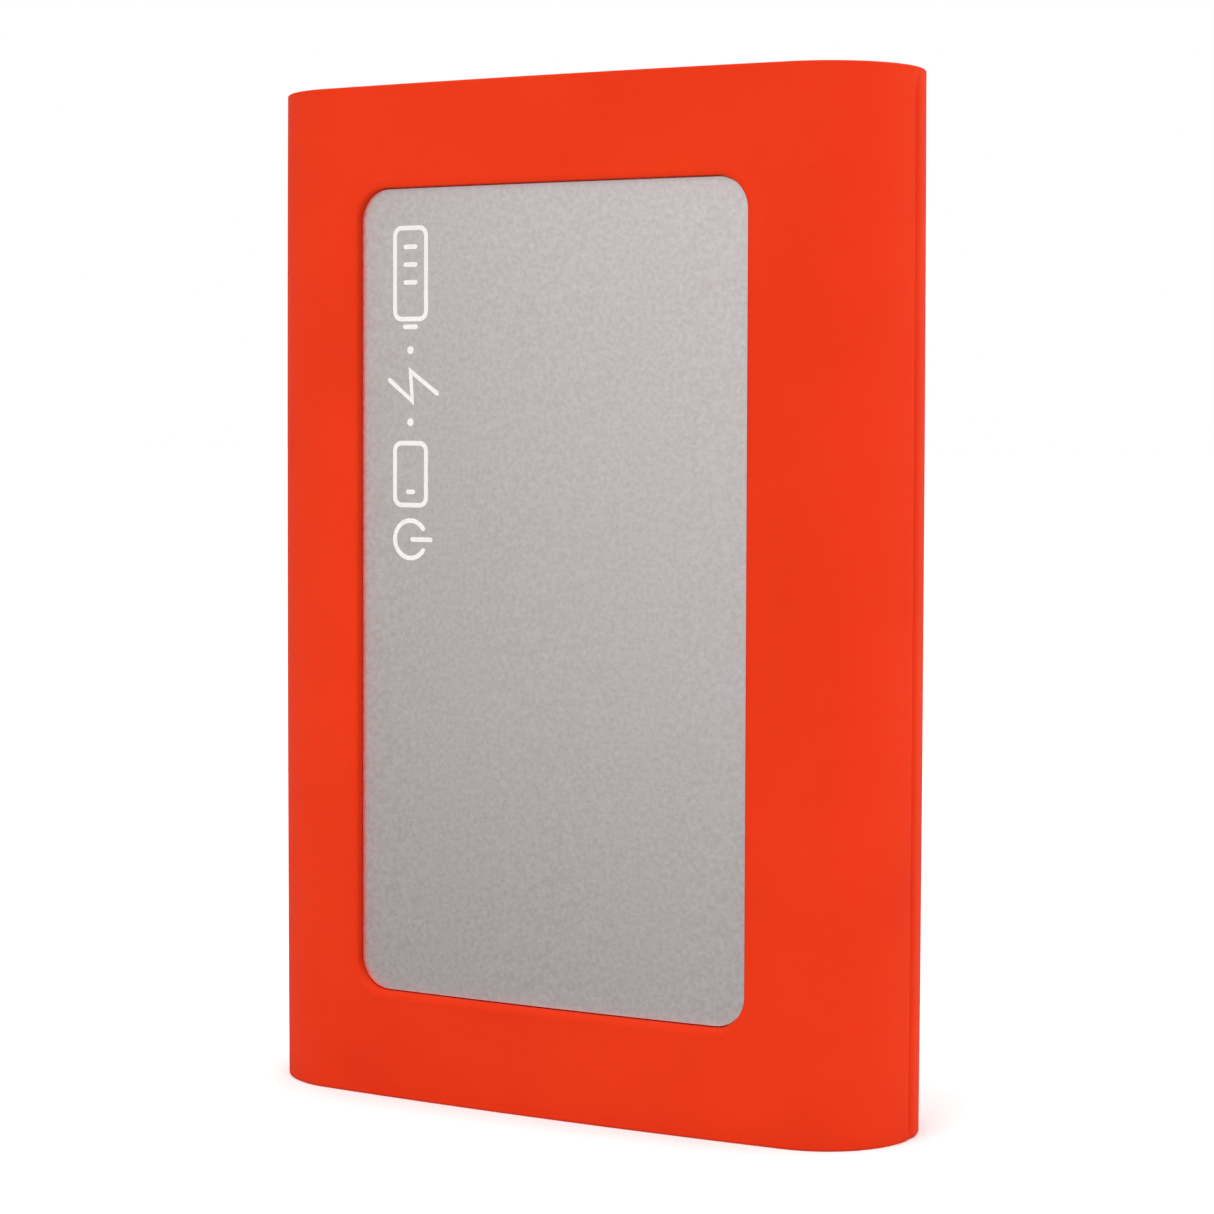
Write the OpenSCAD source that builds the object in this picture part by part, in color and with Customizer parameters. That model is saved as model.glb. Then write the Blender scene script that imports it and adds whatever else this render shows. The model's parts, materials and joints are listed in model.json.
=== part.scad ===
// Pocket power bank in a soft sleeve, standing on its short end. The front faces -Y.
// Two aluminium half shells, each with a raised panel that shows through a window in the
// sleeve, hold a pouch cell in a cradle and a control board with a USB-C socket, a sprung
// test button and four charge lights in a bezel at the top end.

/* [Body] */
// Width across the two long sides
body_w = 63.5; // [62.5:0.5:68]
// Thickness from front to back at the middle
body_t = 18.6; // [18.4:0.1:20]
// Height, standing on its short end
body_h = 92; // [90:0.5:100]
// Bulge of the front and back faces
crown = 0.65; // [0.5:0.05:0.8]
// Wall of the aluminium case
case_wall = 1.2; // [1:0.1:1.3]

/* [Sleeve] */
// Wall of the soft sleeve
sleeve_wall = 1.5; // [1.3:0.1:1.6]
// Window width, front and back
window_w = 39.6; // [34:0.2:42]
// Window height, front and back
window_h = 73.1; // [60:0.1:76]
// Corner radius of the windows
window_r = 3; // [2:0.25:5]
// How far the windows sit above the middle
window_rise = 0.2; // [-1:0.1:1]
// How far the metal panel sits below the sleeve
panel_recess = 0.9; // [0.2:0.02:1]
// Gap between the panel and the window edge
panel_gap = 0.12; // [0.1:0.02:0.3]
// Depth of the line along each long side
groove_depth = 0.4; // [0.2:0.05:0.5]

/* [Top end] */
// Length of the opening that shows the bezel
opening_w = 46; // [45:0.5:48]
// Width of the opening, front to back
opening_t = 8.6; // [8.2:0.1:9]
// Button diameter
button_d = 5.6; // [5:0.1:6]
// How far the button presses in
button_travel = 0.3; // [0.2:0.05:0.4]
// Number of charge lights
light_count = 4; // [3:1:4]

/* [Battery] */
// Cell width
cell_w = 48; // [46:0.5:48]
// Cell thickness
cell_t = 10; // [9:0.1:10]

/* [Hidden] */
// Body profile: full-round long sides, tangent to the crowned faces
half_t = body_t / 2;
side_r = half_t - crown;
side_x = body_w / 2 - side_r;
crown_d = (side_x * side_x + crown * crown) / (2 * crown);
crown_r = crown_d + side_r;
mid_z = body_h / 2;
far = 1;

// Case, measured inward from the outside of the sleeve
fit_gap = 0.05;
case_inset = sleeve_wall + fit_gap;
cavity_inset = case_inset + case_wall;
case_top = body_h - case_inset;
inner_top = body_h - cavity_inset;
inner_y = half_t - cavity_inset;
panel_w = window_w - 2 * panel_gap;
panel_h = window_h - 2 * panel_gap;
panel_r = window_r - panel_gap;
sleeve_corner = 0.5;
case_corner = 1.2;
groove_r = 0.55;
gasket_t = 0.3;
gasket_w = 0.8;

// Bezel in the case's top wall
bezel_w = opening_w - 2;
bezel_t = opening_t - 1.2;
bezel_flange = 1.1;
bezel_flange_t = 0.75;
bezel_proud = 0.15;
bezel_face = case_top + bezel_proud;
bezel_back = inner_top - bezel_flange_t;

// USB-C socket, with its shell resting on the board
usb_w = 8.34;
usb_t = 2.56;
usb_wall = 0.3;
usb_depth = 7.35;
usb_front = bezel_face - 0.3;
usb_back = usb_front - usb_depth;
usb_half = usb_t / 2 + usb_wall;
tongue_w = 6.69;
tongue_t = 0.7;
contact_pitch = 0.5;
contact_count = 12;
leg_z = [1.3, 3.7];

// Control board
board_face = usb_half;
board_t = 1;
board_back = board_face + board_t;
board_w = 42.6;
board_top = bezel_back - 0.95;
board_h = 10.4;
board_low = board_top - board_h;
board_screw_x = 18.5;
board_screw_z = board_low + 3.2;

// Button, switch and lights
button_x = 15;
button_face = body_h - 0.8;
button_clear = 0.15;
button_lip = 0.7;
button_lip_t = 0.4;
button_back = bezel_back - 0.07 - button_lip_t;
switch_w = 6;
switch_h = 3.6;
switch_low = button_back - 4.5;
dome_r = 1.5;
dome_rise = 2 * button_travel;
dome_t = 0.1;
dome_low = switch_low + 1.3;
plunger_r = 1;
plunger_low = dome_low + dome_rise + 0.02;
light_pitch = 2.8;
light_x = -15;
light_r = 0.8;
pipe_low = board_top + 0.1;

// Screws
cover_screw_x = side_x + 1.2;
cover_screw_z = [5.6, body_h - 7];
boss_r = 2.3;
boss_root = sqrt(pow(side_r - case_inset, 2) - pow(1.2 + boss_r, 2)) - 0.1;
head_seat = 5;

// Pouch cell and its protection board
cell_low = 9.5;
cell_top = board_low - 5.6;
terrace_h = 3.4;
guard_low = cell_top + 0.5;
guard_h = 3.2;
guard_t = 0.8;
tab_t = 0.15;
tab_w = 4;
foam_t = min(1, inner_y - cell_t / 2 - 0.5);
foam_gap = 0.05;

// Runs a 2D shape drawn in X and Z along Y, from y0 to y1
module along_y(y0, y1) {
  translate([0, y1, 0])
    rotate([90, 0, 0])
      linear_extrude(y1 - y0)
        children();
}

module round_rect(w, h, r) {
  square([w - 2 * r, h], center = true);
  square([w, h - 2 * r], center = true);
  for (x = [-1, 1], y = [-1, 1])
    translate([x * (w / 2 - r), y * (h / 2 - r)])
      circle(r = r, $fn = 48);
}

module stadium(w, h) {
  square([w - h, h], center = true);
  for (x = [-1, 1])
    translate([x * (w - h) / 2, 0])
      circle(r = h / 2, $fn = 64);
}

// Cross-section of the body, moved inward by inset
module slab_profile(inset) {
  flat_half = side_x + (side_r - inset) * side_x / crown_d;
  intersection() {
    translate([0, crown_r - half_t])
      circle(r = crown_r - inset, $fn = 720);
    translate([0, half_t - crown_r])
      circle(r = crown_r - inset, $fn = 720);
    square([2 * flat_half, body_t], center = true);
  }
  for (side = [-1, 1])
    translate([side * side_x, 0])
      circle(r = side_r - inset, $fn = 96);
}

// Solid block of the body's shape, moved inward by inset, with rounded corners in front view
module slab(inset, corner) {
  intersection() {
    translate([0, 0, -far])
      linear_extrude(body_h + 2 * far)
        slab_profile(inset);
    along_y(-half_t - far, half_t + far)
      translate([0, mid_z])
        round_rect(body_w - 2 * inset + 0.2, body_h - 2 * inset, corner);
  }
}

module silicone_sleeve() {
  color([0.84, 0.04, 0.011])
    difference() {
      slab(0, sleeve_corner);
      slab(sleeve_wall, case_corner);
      along_y(-half_t - far, half_t + far)
        translate([0, mid_z + window_rise])
          round_rect(window_w, window_h, window_r);
      translate([0, 0, body_h - sleeve_wall - far])
        linear_extrude(sleeve_wall + 2 * far)
          stadium(opening_w, opening_t);
      for (side = [-1, 1])
        translate([side * (body_w / 2 + groove_r - groove_depth), 0, -far])
          cylinder(r = groove_r, h = body_h - 0.6 + far, $fn = 32);
    }
}

// One aluminium half shell, on the +Y side
module half_shell() {
  difference() {
    union() {
      intersection() {
        slab(case_inset, case_corner);
        translate([-body_w, gasket_t / 2, 0])
          cube([2 * body_w, half_t, body_h]);
      }
      intersection() {
        translate([0, 0, -far])
          linear_extrude(body_h + 2 * far)
            slab_profile(panel_recess);
        along_y(inner_y - 0.4, half_t + far)
          translate([0, mid_z + window_rise])
            round_rect(panel_w, panel_h, panel_r);
      }
    }
    slab(cavity_inset, case_corner);
    translate([0, 0, inner_top - far])
      linear_extrude(case_wall + 2 * far)
        stadium(bezel_w + 0.1, bezel_t + 0.1);
  }
}

module screw_points() {
  for (x = [-1, 1], z = cover_screw_z)
    translate([x * cover_screw_x, 0, z])
      children();
}

// Round bar along Y, from y0 to y1
module rod_y(r, y0, y1) {
  translate([0, y1, 0])
    rotate([90, 0, 0])
      cylinder(r = r, h = y1 - y0, $fn = 40);
}

module front_cover() {
  color([0.56, 0.53, 0.53])
    difference() {
      union() {
        mirror([0, 1, 0])
          half_shell();
        screw_points()
          rod_y(boss_r, -boss_root, -gasket_t / 2);
      }
      screw_points()
        rod_y(0.8, -5, 0);
    }
}

module rear_cover() {
  color([0.56, 0.53, 0.53])
    difference() {
      union() {
        half_shell();
        screw_points()
          rod_y(boss_r, gasket_t / 2, boss_root);
        for (x = [-1, 1])
          translate([x * board_screw_x, 0, board_screw_z])
            rod_y(2, board_back, inner_y);
      }
      screw_points() {
        rod_y(1, -far, half_t);
        rod_y(1.9, head_seat, half_t);
      }
      for (x = [-1, 1])
        translate([x * board_screw_x, 0, board_screw_z])
          rod_y(0.75, board_back - far, 5.6);
    }
}

module seam_gasket() {
  ring_w = body_w - 2 * case_inset - 0.4;
  ring_h = body_h - 2 * case_inset - 0.4;
  color([0.03, 0.03, 0.035])
    difference() {
      along_y(-gasket_t / 2, gasket_t / 2)
        translate([0, mid_z])
          difference() {
            round_rect(ring_w, ring_h, 1);
            round_rect(ring_w - 2 * gasket_w, ring_h - 2 * gasket_w, 0.6);
          }
      translate([0, 0, case_top])
        cube([bezel_w + 0.3, far, 4], center = true);
    }
}

// Small cross-head screw along Y: head outward on +Y, its seat at y = 0
module screw(head_r, head_t, shank_r, shank_l) {
  slot = head_r * 0.9;
  difference() {
    rod_y(head_r, 0, head_t);
    for (turn = [0, 90])
      translate([0, head_t, 0])
        rotate([0, turn, 0])
          cube([2 * slot, head_t, 0.4], center = true);
  }
  rod_y(shank_r, -shank_l, 0);
}

module cover_screws() {
  color([0.25, 0.25, 0.26])
    screw_points()
      translate([0, head_seat, 0])
        screw(1.7, 1, 0.79, 9.4);
}

module light_points() {
  for (i = [0:light_count - 1])
    translate([light_x + (i - (light_count - 1) / 2) * light_pitch, 0, 0])
      children();
}

module port_bezel() {
  color([0.025, 0.025, 0.028])
    difference() {
      union() {
        translate([0, 0, bezel_back])
          linear_extrude(bezel_face - bezel_back)
            stadium(bezel_w, bezel_t);
        translate([0, 0, bezel_back])
          linear_extrude(bezel_flange_t - 0.02)
            stadium(bezel_w + bezel_flange, bezel_t + bezel_flange);
      }
      translate([0, 0, bezel_back - far])
        linear_extrude(4 * far)
          stadium(usb_w + 2 * usb_wall + 0.16, usb_t + 2 * usb_wall + 0.16);
      translate([0, 0, bezel_face - 0.3])
        linear_extrude(far)
          stadium(usb_w + 2 * usb_wall + 1, usb_t + 2 * usb_wall + 1);
      translate([button_x, 0, bezel_back - far])
        cylinder(d = button_d + 2 * button_clear, h = 4 * far, $fn = 64);
      light_points()
        translate([0, 0, bezel_back - far])
          cylinder(r = light_r + 0.04, h = 4 * far, $fn = 32);
    }
}

module light_pipe() {
  bar_w = (light_count - 1) * light_pitch + 2.4;
  color([0.9, 0.9, 0.88])
    union() {
      translate([light_x - bar_w / 2, -1.3, pipe_low])
        cube([bar_w, 3.1, bezel_back - pipe_low - 0.02]);
      light_points()
        translate([0, 0, pipe_low])
          cylinder(r = light_r, h = bezel_face - pipe_low, $fn = 32);
    }
}

module charge_leds() {
  color([0.95, 0.9, 0.6])
    light_points()
      translate([-0.8, board_face - 0.9, board_top - 1.1])
        cube([1.6, 0.9, 0.9]);
}

module button_cap() {
  color([0.05, 0.05, 0.055])
    translate([button_x, 0, 0])
      difference() {
        union() {
          translate([0, 0, button_back])
            cylinder(d = button_d, h = button_face - button_back, $fn = 64);
          translate([0, 0, button_back])
            cylinder(r = button_d / 2 + button_lip, h = button_lip_t, $fn = 64);
        }
        translate([0, 0, button_face + 14.6])
          sphere(r = 14.9, $fn = 96);
      }
}

module switch_body() {
  color([0.1, 0.1, 0.11])
    translate([button_x, 0, 0])
      difference() {
        translate([-switch_w / 2, -usb_half, switch_low])
          cube([switch_w, 2 * usb_half, switch_h]);
        translate([0, 0, dome_low])
          cylinder(r = dome_r + 0.1, h = dome_rise + 0.35, $fn = 40);
        translate([0, 0, dome_low])
          cylinder(r = plunger_r + 0.1, h = switch_h, $fn = 40);
      }
}

module switch_plunger() {
  color([0.75, 0.12, 0.08])
    translate([button_x, 0, plunger_low])
      cylinder(r = plunger_r, h = button_back - plunger_low, $fn = 40);
}

module switch_dome() {
  ball_r = (dome_r * dome_r + dome_rise * dome_rise) / (2 * dome_rise);
  color([0.7, 0.7, 0.68])
    translate([button_x, 0, dome_low])
      intersection() {
        translate([0, 0, dome_rise - ball_r])
          difference() {
            sphere(r = ball_r, $fn = 64);
            sphere(r = ball_r - dome_t, $fn = 64);
          }
        cylinder(r = 2 * dome_r, h = 2 * dome_rise, $fn = 40);
      }
}

module usb_shell() {
  out_w = usb_w + 2 * usb_wall;
  out_t = usb_t + 2 * usb_wall;
  color([0.6, 0.6, 0.6]) {
    difference() {
      translate([0, 0, usb_back])
        linear_extrude(usb_depth)
          stadium(out_w, out_t);
      translate([0, 0, usb_back + usb_wall])
        linear_extrude(usb_depth)
          stadium(usb_w, usb_t);
    }
    for (x = [-1, 1], z = leg_z)
      translate([x * (out_w - usb_wall) / 2 - usb_wall / 2, 0, usb_back + z - 0.45])
        cube([usb_wall, board_back + 0.3, 0.9]);
  }
}

module usb_tongue() {
  color([0.03, 0.03, 0.03])
    union() {
      translate([0, 0, usb_back + usb_wall])
        linear_extrude(1.4)
          stadium(usb_w - 0.02, usb_t - 0.02);
      translate([-tongue_w / 2, -tongue_t / 2, usb_back + usb_wall])
        cube([tongue_w, tongue_t, usb_depth - usb_wall - 0.7]);
    }
}

module usb_contacts() {
  color([0.83, 0.62, 0.22])
    for (i = [0:contact_count - 1])
      translate([(i - (contact_count - 1) / 2) * contact_pitch - 0.125, 0, 0]) {
        for (side = [-1, 1])
          translate([0, side * (tongue_t / 2 + 0.025) - 0.025, usb_back + 2.4])
            cube([0.25, 0.05, 3.6]);
        translate([0, board_face - 0.2, usb_back - 0.9])
          cube([0.25, 0.2, 0.9]);
      }
}

module port_seal() {
  out_w = usb_w + 2 * usb_wall;
  out_t = usb_t + 2 * usb_wall;
  color([0.06, 0.06, 0.06])
    translate([0, 0, board_top + 0.1])
      linear_extrude(bezel_back - board_top - 0.15)
        difference() {
          stadium(out_w + 2.2, out_t + 2.2);
          stadium(out_w + 0.04, out_t + 0.04);
        }
}

module main_board() {
  color([0.02, 0.16, 0.07])
    difference() {
      along_y(board_face, board_back)
        translate([0, board_low + board_h / 2])
          round_rect(board_w, board_h, 1);
      for (x = [-1, 1])
        translate([x * board_screw_x, 0, board_screw_z])
          rod_y(0.9, 0, half_t);
      for (x = [-1, 1], z = leg_z)
        translate([x * (usb_w + usb_wall) / 2 - 0.3, 0, usb_back + z - 0.65])
          cube([0.6, half_t, 1.3]);
    }
}

module board_screws() {
  color([0.7, 0.7, 0.7])
    for (x = [-1, 1])
      translate([x * board_screw_x, board_face, board_screw_z])
        mirror([0, 1, 0])
          screw(1.4, 0.8, 0.74, 3.6);
}

// Flat chip on the face of a board whose surface is at y
module chip(x, y, z, w, h, t) {
  translate([x - w / 2, y - t, z - h / 2])
    cube([w, t, h]);
}

module charger_chip() {
  color([0.03, 0.03, 0.03])
    difference() {
      chip(7.8, board_face, board_low + 3, 4, 4, 0.9);
      translate([6.5, board_face - 0.9, board_low + 4.3])
        rod_y(0.25, -0.1, 0.1);
    }
}

module boost_chip() {
  color([0.03, 0.03, 0.03]) {
    chip(-2.5, board_face, board_low + 2.6, 3.9, 2.6, 1.3);
    for (i = [0:3], side = [-1, 1])
      translate([-4.1 + i * 0.97, board_face - 0.35, board_low + 2.6 + side * 1.7 - 0.4])
        cube([0.4, 0.35, 0.8]);
  }
}

module boost_inductor() {
  color([0.18, 0.18, 0.19])
    difference() {
      translate([-11.2, 0, board_low + 4.3])
        along_y(board_face - 2.8, board_face)
          round_rect(6, 6, 0.6);
      translate([-11.2, board_face - 2.8, board_low + 4.3])
        rod_y(1.9, -0.1, 0.25);
    }
}

module capacitors() {
  color([0.62, 0.44, 0.3]) {
    for (i = [0:2])
      chip(2.6, board_face, board_low + 1.2 + i * 1.25, 2, 0.9, 1);
    for (i = [0:2])
      chip(11.6 + i * 1.3, board_face, board_low + 2.4, 0.8, 1.6, 0.8);
  }
}

module resistors() {
  color([0.04, 0.04, 0.045]) {
    for (i = [0:3])
      chip(-16.2 + i * 1.4, board_face, board_low + 8.3, 0.8, 1.2, 0.4);
    for (i = [0:3])
      chip(7.2 + i * 1.1, board_face, board_low + 6.4, 0.6, 1.2, 0.4);
  }
}

module cell_cradle() {
  rail = 2.2;
  reach = 4.2;
  out_w = cell_w + 0.3 + 2 * rail;
  low = cell_low - 1.4;
  high = cell_top + 4;
  color([0.05, 0.05, 0.055])
    union() {
      difference() {
        translate([-out_w / 2, -reach, low])
          cube([out_w, 2 * reach, high - low]);
        translate([-cell_w / 2 - 0.15, -reach - far, cell_low - 0.2])
          cube([cell_w + 0.3, 2 * (reach + far), high]);
      }
      for (side = [-1, 1], z = [16, mid_z - 4, high - 10])
        translate([side * (out_w / 2 + 0.4) - 0.4, -1.5, z])
          cube([0.8, 3, 6]);
    }
}

module pouch_cell() {
  fold = 0.3;
  color([0.55, 0.56, 0.58])
    union() {
      translate([0, 0, cell_low])
        linear_extrude(cell_top - cell_low)
          round_rect(cell_w - 2 * fold, cell_t, 2.4);
      for (side = [-1, 1])
        translate([side * (cell_w - fold) / 2 - fold / 2, -2, cell_low + 0.5])
          cube([fold, 5, cell_top - cell_low - 1]);
      translate([-cell_w / 2 + 1.5, cell_t / 2 - 1.4, cell_top - 0.5])
        cube([cell_w - 3, 0.5, terrace_h + 0.5]);
    }
}

module cell_tabs() {
  rear_y = cell_t / 2 - 0.9;
  front_y = board_face + guard_t;
  fold_z = cell_top + terrace_h + 0.45;
  color([0.62, 0.6, 0.55])
    for (x = [-8, 4])
      translate([x - tab_w / 2, 0, 0])
        difference() {
          translate([0, front_y, cell_top + 1.4])
            cube([tab_w, rear_y + tab_t - front_y, fold_z - cell_top - 1.4]);
          translate([-far, front_y + tab_t, cell_top])
            cube([tab_w + 2 * far, rear_y - front_y - tab_t, fold_z - tab_t - cell_top]);
        }
}

module protection_board() {
  color([0.02, 0.14, 0.07])
    translate([-17, board_face, guard_low])
      cube([25, guard_t, guard_h]);
}

module protection_chips() {
  color([0.03, 0.03, 0.03]) {
    chip(-1.5, board_face, guard_low + 1.6, 3, 2.2, 1);
    chip(3.4, board_face, guard_low + 1.6, 2.9, 1.6, 1.1);
    for (i = [0:1])
      chip(-5.2 + i * 1.4, board_face, guard_low + 1.6, 0.6, 1, 0.45);
  }
}

module cell_tape() {
  tape = 0.12;
  tape_w = 13.2;
  front_y = board_face - 1.4;
  rear_y = cell_t / 2 - 0.7;
  low = cell_top + 0.4;
  high = cell_top + terrace_h + 0.5;
  color([0.78, 0.52, 0.08])
    translate([-5.4, 0, 0])
      difference() {
        translate([0, front_y - tape, low])
          cube([tape_w, rear_y + 2 * tape - front_y, high + tape - low]);
        translate([-far, front_y, low - far])
          cube([tape_w + 2 * far, rear_y + tape - front_y, high - low + far]);
      }
}

// Insulated wire that leaves one board face, rises and comes back to the other
module lead(x, bend_y, z0, z1) {
  wire_r = 0.55;
  bend_r = 1.1;
  translate([x, 0, 0]) {
    for (z = [z0, z1])
      translate([0, 0, z])
        rod_y(wire_r, bend_y + bend_r, board_face);
    translate([0, bend_y, z0 + bend_r])
      cylinder(r = wire_r, h = z1 - z0 - 2 * bend_r, $fn = 32);
    translate([0, bend_y + bend_r, z0 + bend_r])
      rotate([0, -90, 0])
        rotate([0, 0, 180])
          rotate_extrude(angle = 90, $fn = 64)
            translate([bend_r, 0])
              circle(r = wire_r, $fn = 32);
    translate([0, bend_y + bend_r, z1 - bend_r])
      rotate([0, -90, 0])
        rotate([0, 0, -90])
          rotate_extrude(angle = 90, $fn = 64)
            translate([bend_r, 0])
              circle(r = wire_r, $fn = 32);
  }
}

module positive_lead() {
  color([0.62, 0.03, 0.02])
    lead(-15.6, -1.2, guard_low + 1.6, board_low + 1.2);
}

module negative_lead() {
  color([0.02, 0.02, 0.02])
    lead(-6.6, -1.9, guard_low + 1.6, board_low + 1.2);
}

module thermistor() {
  bead_r = 0.9;
  bead_y = board_face - bead_r;
  color([0.1, 0.1, 0.1])
    union() {
      translate([13.9, bead_y, cell_top + bead_r + 0.1])
        sphere(r = bead_r, $fn = 40);
      for (x = [-0.35, 0.35])
        translate([13.9 + x, board_face - 0.3, cell_top + bead_r + 0.1])
          cylinder(r = 0.22, h = board_low + 1.2 - cell_top - bead_r - 0.1, $fn = 24);
    }
}

module foam_pad(side) {
  color([0.12, 0.12, 0.125])
    translate([0, side * (cell_t / 2 + foam_gap + foam_t / 2), cell_low + (cell_top - cell_low) / 2])
      cube([34, foam_t, 50], center = true);
}

module foam_pad_front() {
  foam_pad(-1);
}

module foam_pad_rear() {
  foam_pad(1);
}

silicone_sleeve();
front_cover();
rear_cover();
seam_gasket();
cover_screws();
port_bezel();
light_pipe();
charge_leds();
button_cap();
switch_body();
switch_plunger();
switch_dome();
usb_shell();
usb_tongue();
usb_contacts();
port_seal();
main_board();
board_screws();
charger_chip();
boost_chip();
boost_inductor();
capacitors();
resistors();
cell_cradle();
pouch_cell();
cell_tabs();
protection_board();
protection_chips();
cell_tape();
positive_lead();
negative_lead();
thermistor();
foam_pad_front();
foam_pad_rear();
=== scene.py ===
import json
import math

import bmesh
import bpy
from mathutils import Matrix, Vector


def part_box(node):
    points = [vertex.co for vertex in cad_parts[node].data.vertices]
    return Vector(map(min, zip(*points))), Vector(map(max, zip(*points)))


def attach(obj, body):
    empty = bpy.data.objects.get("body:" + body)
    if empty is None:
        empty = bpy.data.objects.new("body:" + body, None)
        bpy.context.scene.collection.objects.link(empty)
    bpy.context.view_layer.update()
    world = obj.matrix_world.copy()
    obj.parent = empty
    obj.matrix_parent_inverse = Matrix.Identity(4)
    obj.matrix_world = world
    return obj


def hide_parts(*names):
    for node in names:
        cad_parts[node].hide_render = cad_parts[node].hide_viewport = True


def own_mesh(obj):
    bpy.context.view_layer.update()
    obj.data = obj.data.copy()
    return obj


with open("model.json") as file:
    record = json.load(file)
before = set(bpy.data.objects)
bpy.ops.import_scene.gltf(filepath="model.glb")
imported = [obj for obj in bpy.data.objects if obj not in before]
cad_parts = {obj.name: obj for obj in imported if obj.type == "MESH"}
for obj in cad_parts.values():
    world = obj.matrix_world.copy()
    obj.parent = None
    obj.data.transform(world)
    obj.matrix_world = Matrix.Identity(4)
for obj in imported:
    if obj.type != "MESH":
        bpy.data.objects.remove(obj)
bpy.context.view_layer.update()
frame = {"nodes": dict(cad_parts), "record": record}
scene = bpy.context.scene
MM = 0.001

# ---------------------------------------------------------------- sizes, from the CAD boxes
low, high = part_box("silicone_sleeve")
BODY_W = high.x - low.x
BODY_H = high.z - low.z
HALF_T = (high.y - low.y) / 2
MID_Z = (high.z + low.z) / 2
CROWN = 0.65 * MM
SIDE_R = HALF_T - CROWN
SIDE_X = BODY_W / 2 - SIDE_R
CROWN_D = (SIDE_X ** 2 + CROWN ** 2) / (2 * CROWN)
CROWN_R = CROWN_D + SIDE_R
case_low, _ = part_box("front_cover")
SLEEVE_WALL = case_low.z - low.z - 0.05 * MM
panel_top = case_low.y
RECESS = panel_top - low.y
WINDOW_W = 39.6 * MM
WINDOW_H = 73.1 * MM
WINDOW_R = 3.0 * MM
WINDOW_Z = MID_Z + 0.2 * MM
OPENING_W = 46 * MM
OPENING_T = 8.6 * MM
END_FILLET = 0.2 * MM
LIP = 0.8 * MM
LIP_DEPTH = 0.45 * MM
PANEL_EDGE = 0.2 * MM
PANEL_TOLERANCE = 0.004 * MM
JOIN = 0.001 * MM
EDGE_STEPS = 26
CORNER_STEPS = 48
FAN_RINGS = 26
BORDER_RINGS = 16
LIP_RINGS = 6
LINING_RINGS = 14
RIM_RINGS = 8
MOUTH_RINGS = 5
CLOSED_END_RINGS = (0.9, 0.5, 0.12)
OPEN_END_RINGS = (0.3, 0.7, 1.0)
BORDER_S = 1.4 * MM
BORDER_Z = 0.1 * MM
GROOVE_DEPTH = 0.38 * MM
GROOVE_HALF = 0.7 * MM
GROOVE_END = 0.4 * MM
GROOVE_TOP_FADE = 1.8 * MM
GROOVE_LOW_FADE = 1.2 * MM
GROOVE_LOW_SHARE = 0.3
BOW = 0.1 * MM
S_TANGENT = CROWN_R * math.asin(SIDE_X / CROWN_D)
PHI_TANGENT = math.asin(SIDE_X / CROWN_D)
S_SIDE = S_TANGENT + SIDE_R * (math.pi / 2 - PHI_TANGENT)


def smooth(t):
    t = min(max(t, 0.0), 1.0)
    return t * t * (3 - 2 * t)


# ---------------------------------------------------------------- meshes
def make_object(name, verts, faces, merge=0.0):
    mesh = bpy.data.meshes.new(name)
    mesh.from_pydata([tuple(v) for v in verts], [], faces)
    mesh.validate()
    obj = bpy.data.objects.new(name, mesh)
    scene.collection.objects.link(obj)
    bm = bmesh.new()
    bm.from_mesh(mesh)
    if merge:
        bmesh.ops.remove_doubles(bm, verts=bm.verts, dist=merge)
    bmesh.ops.recalc_face_normals(bm, faces=bm.faces)
    bm.to_mesh(mesh)
    bm.free()
    return obj


def shade(obj, angle=35):
    """Smooth shading with hard edges above the angle."""
    for p in obj.data.polygons:
        p.use_smooth = True
    obj.data.set_sharp_from_angle(angle=math.radians(angle))


def side_point(s, side, inset):
    """Point of the body's cross-section: s along the surface from the middle, side -1 front, 1 back."""
    a = abs(s)
    sign = 1 if s >= 0 else -1
    if a <= S_TANGENT:
        t = a / CROWN_R
        x = (CROWN_R - inset) * math.sin(t)
        y = CROWN_D + SIDE_R - HALF_T - (CROWN_R - inset) * math.cos(t)
    else:
        t = PHI_TANGENT + (a - S_TANGENT) / SIDE_R
        x = SIDE_X + (SIDE_R - inset) * math.sin(t)
        y = -(SIDE_R - inset) * math.cos(t)
    return sign * x, -side * y


def groove(s, z):
    """Depth of the soft line along the long sides: gone at the top end, shallower at the bottom."""
    u = (S_SIDE - abs(s)) / GROOVE_HALF
    if u >= 1:
        return 0.0
    fade_top = smooth((high.z - GROOVE_END - z) / GROOVE_TOP_FADE)
    fade_low = GROOVE_LOW_SHARE + (1 - GROOVE_LOW_SHARE) * smooth((z - low.z) / GROOVE_LOW_FADE)
    return GROOVE_DEPTH * (1 - max(u, 0)) ** 2 * fade_top * fade_low


def outer_point(s, z, side, inset=0.0):
    bow = BOW * ((z - MID_Z) / (BODY_H / 2)) ** 2
    x, y = side_point(s, side, inset + bow + groove(s, z))
    return Vector((x, y, z))


def face_point(x, z, side, inset):
    """Point on the crowned face at a given x."""
    t = math.asin(x / (CROWN_R - inset))
    y = CROWN_R - HALF_T - (CROWN_R - inset) * math.cos(t)
    return Vector((x, -side * y, z))


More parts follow.
